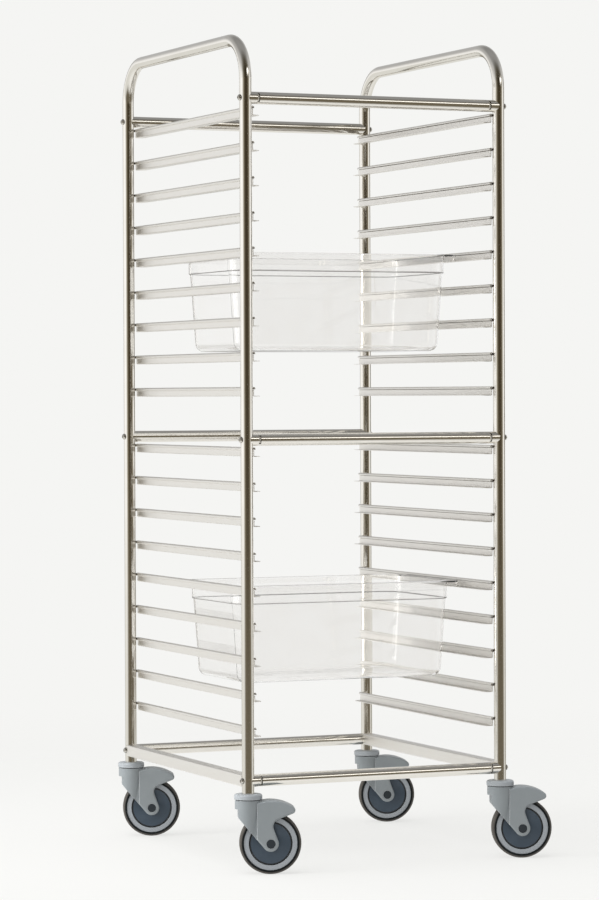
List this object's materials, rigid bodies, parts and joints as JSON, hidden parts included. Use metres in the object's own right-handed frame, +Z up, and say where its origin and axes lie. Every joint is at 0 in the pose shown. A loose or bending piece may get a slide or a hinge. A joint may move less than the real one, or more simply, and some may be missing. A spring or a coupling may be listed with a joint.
{
  "type": "gastronorm tray trolley",
  "caption": "Tall open tube trolley on swivel castors with sheet runners in two bays, loop push handles and clear food containers that slide in on the runners.",
  "frame": {"origin": "on the floor, midway between the four legs", "axes": "+X to the right, +Y to the back, +Z up, seen from the front where trays go in"},
  "size_m": [0.7146, 0.7543, 1.728],
  "materials": {
    "stainless_tube": "satin",
    "stainless_sheet": "satin",
    "bolt_steel": "bright",
    "bearing_steel": "ground",
    "nut_steel": "black oxide",
    "castor_plastic": "fine moulded grain",
    "washer_plastic": "smooth",
    "cap_plastic": "smooth",
    "rim_plastic": "smooth",
    "disc_plastic": "smooth",
    "tyre_rubber": "matte",
    "clear_polycarbonate": "clear, glossy"
  },
  "bodies": {
    "frame": {"left_side_tube": "stainless_tube", "right_side_tube": "stainless_tube", "top_front_bar": "stainless_tube", "top_rear_bar": "stainless_tube", "middle_front_bar": "stainless_tube", "middle_rear_bar": "stainless_tube", "bottom_front_bar": "stainless_tube", "bottom_rear_bar": "stainless_tube", "upper_left_runners": "stainless_sheet", "upper_right_runners": "stainless_sheet", "lower_left_runners": "stainless_sheet", "lower_right_runners": "stainless_sheet", "left_bottom_rail": "stainless_sheet", "right_bottom_rail": "stainless_sheet", "frame_bolts": "bolt_steel", "bar_nuts": "nut_steel", "castor_stems": "bolt_steel", "castor_collars": "castor_plastic", "swivel_washers": "washer_plastic"},
    "front_left_castor": {"front_left_fork": "castor_plastic", "front_left_axle": "bolt_steel", "front_left_axle_caps": "cap_plastic"},
    "front_left_wheel": {"front_left_wheel_rim": "rim_plastic", "front_left_tyre": "tyre_rubber", "front_left_wheel_discs": "disc_plastic", "front_left_wheel_bearings": "bearing_steel"},
    "front_right_castor": {"front_right_fork": "castor_plastic", "front_right_axle": "bolt_steel", "front_right_axle_caps": "cap_plastic"},
    "front_right_wheel": {"front_right_wheel_rim": "rim_plastic", "front_right_tyre": "tyre_rubber", "front_right_wheel_discs": "disc_plastic", "front_right_wheel_bearings": "bearing_steel"},
    "rear_left_castor": {"rear_left_fork": "castor_plastic", "rear_left_axle": "bolt_steel", "rear_left_axle_caps": "cap_plastic"},
    "rear_left_wheel": {"rear_left_wheel_rim": "rim_plastic", "rear_left_tyre": "tyre_rubber", "rear_left_wheel_discs": "disc_plastic", "rear_left_wheel_bearings": "bearing_steel"},
    "rear_right_castor": {"rear_right_fork": "castor_plastic", "rear_right_axle": "bolt_steel", "rear_right_axle_caps": "cap_plastic"},
    "rear_right_wheel": {"rear_right_wheel_rim": "rim_plastic", "rear_right_tyre": "tyre_rubber", "rear_right_wheel_discs": "disc_plastic", "rear_right_wheel_bearings": "bearing_steel"},
    "upper_container": {"upper_container": "clear_polycarbonate"},
    "lower_container": {"lower_container": "clear_polycarbonate"}
  },
  "joints": [
    {"name": "front_left_swivel", "type": "hinge", "parent": "frame", "child": "front_left_castor", "pos_m": [-0.29, -0.336, 0.12], "axis": [0, 0, 1], "continuous": true},
    {"name": "front_left_roll", "type": "hinge", "parent": "front_left_castor", "child": "front_left_wheel", "pos_m": [-0.24758, -0.35102, 0.0635], "axis": [0.3338, 0.9426, 0], "continuous": true},
    {"name": "front_right_swivel", "type": "hinge", "parent": "frame", "child": "front_right_castor", "pos_m": [0.29, -0.336, 0.12], "axis": [0, 0, 1], "continuous": true},
    {"name": "front_right_roll", "type": "hinge", "parent": "front_right_castor", "child": "front_right_wheel", "pos_m": [0.33242, -0.35102, 0.0635], "axis": [0.3338, 0.9426, 0], "continuous": true},
    {"name": "rear_left_swivel", "type": "hinge", "parent": "frame", "child": "rear_left_castor", "pos_m": [-0.29, 0.336, 0.12], "axis": [0, 0, 1], "continuous": true},
    {"name": "rear_left_roll", "type": "hinge", "parent": "rear_left_castor", "child": "rear_left_wheel", "pos_m": [-0.24758, 0.32098, 0.0635], "axis": [0.3338, 0.9426, 0], "continuous": true},
    {"name": "rear_right_swivel", "type": "hinge", "parent": "frame", "child": "rear_right_castor", "pos_m": [0.29, 0.336, 0.12], "axis": [0, 0, 1], "continuous": true},
    {"name": "rear_right_roll", "type": "hinge", "parent": "rear_right_castor", "child": "rear_right_wheel", "pos_m": [0.33242, 0.32098, 0.0635], "axis": [0.3338, 0.9426, 0], "continuous": true},
    {"name": "upper_container_slide", "type": "slide", "parent": "frame", "child": "upper_container", "axis": [0, -1, 0], "range_m": [-0.25, 0.25]},
    {"name": "lower_container_slide", "type": "slide", "parent": "frame", "child": "lower_container", "axis": [0, -1, 0], "range_m": [-0.25, 0.25]}
  ]
}
